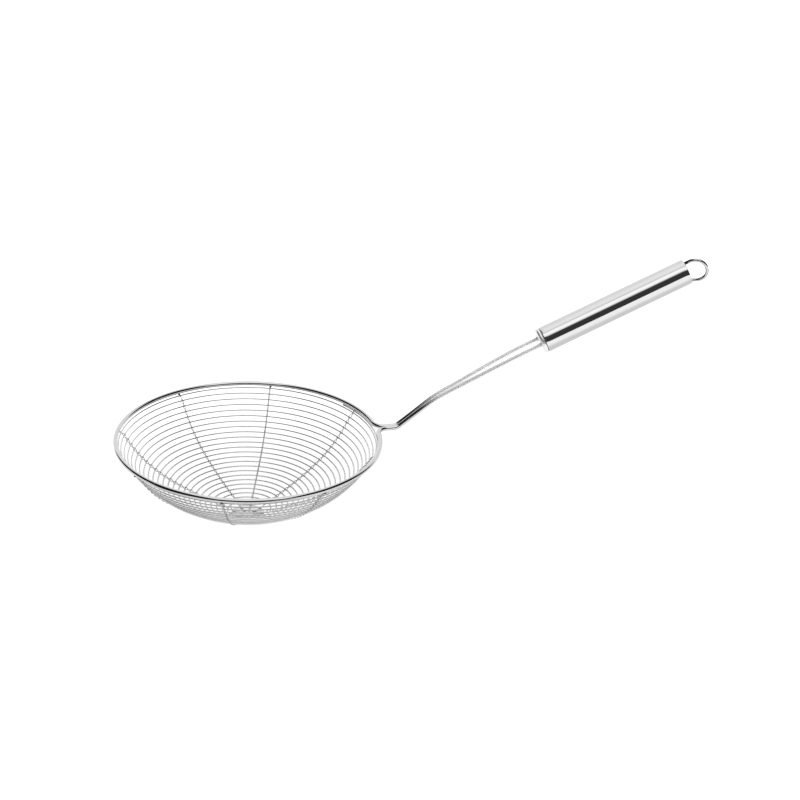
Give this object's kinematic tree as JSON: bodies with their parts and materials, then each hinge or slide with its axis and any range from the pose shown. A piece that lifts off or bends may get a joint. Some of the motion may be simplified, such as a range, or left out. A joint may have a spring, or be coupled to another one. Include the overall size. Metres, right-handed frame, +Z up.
{
  "type": "spider skimmer",
  "caption": "Wire spider skimmer: a spiral wire bowl on twisted ribs inside a round rim, with a tube handle and a swinging hanging loop.",
  "frame": {"origin": "centre of the flat underside of the disc at the bottom of the bowl, on the bowl's axis", "axes": "+Z up out of the bowl along its axis; +X from the bowl's axis towards the handle's rear end; +Y to the left of the handle, seen from the rear end"},
  "size_m": [0.4066, 0.18, 0.1658],
  "materials": {
    "frame_steel": "polished",
    "bowl_steel": "bright drawn",
    "strand_steel": "bright drawn",
    "disc_steel": "satin",
    "tube_steel": "mirror polished",
    "cap_steel": "polished",
    "loop_steel": "polished"
  },
  "bodies": {
    "skimmer": {"frame_wire": "frame_steel", "spiral_wire": "bowl_steel", "centre_disc": "disc_steel", "handle_tube": "tube_steel", "front_cap": "cap_steel", "rear_cap": "cap_steel", "rib_1_left_strand": "strand_steel", "rib_1_right_strand": "strand_steel", "rib_2_left_strand": "strand_steel", "rib_2_right_strand": "strand_steel", "rib_3_left_strand": "strand_steel", "rib_3_right_strand": "strand_steel", "rib_4_left_strand": "strand_steel", "rib_4_right_strand": "strand_steel", "rib_5_left_strand": "strand_steel", "rib_5_right_strand": "strand_steel", "rib_6_left_strand": "strand_steel", "rib_6_right_strand": "strand_steel", "rib_7_left_strand": "strand_steel", "rib_7_right_strand": "strand_steel", "rib_8_left_strand": "strand_steel", "rib_8_right_strand": "strand_steel"},
    "loop": {"hanging_loop": "loop_steel"}
  },
  "joints": [
    {"name": "loop_swing", "type": "hinge", "parent": "skimmer", "child": "loop", "pos_m": [0.30144, 0, 0.15402], "axis": [-0.3923, 0, 0.9198], "range_deg": [0, 50]}
  ]
}
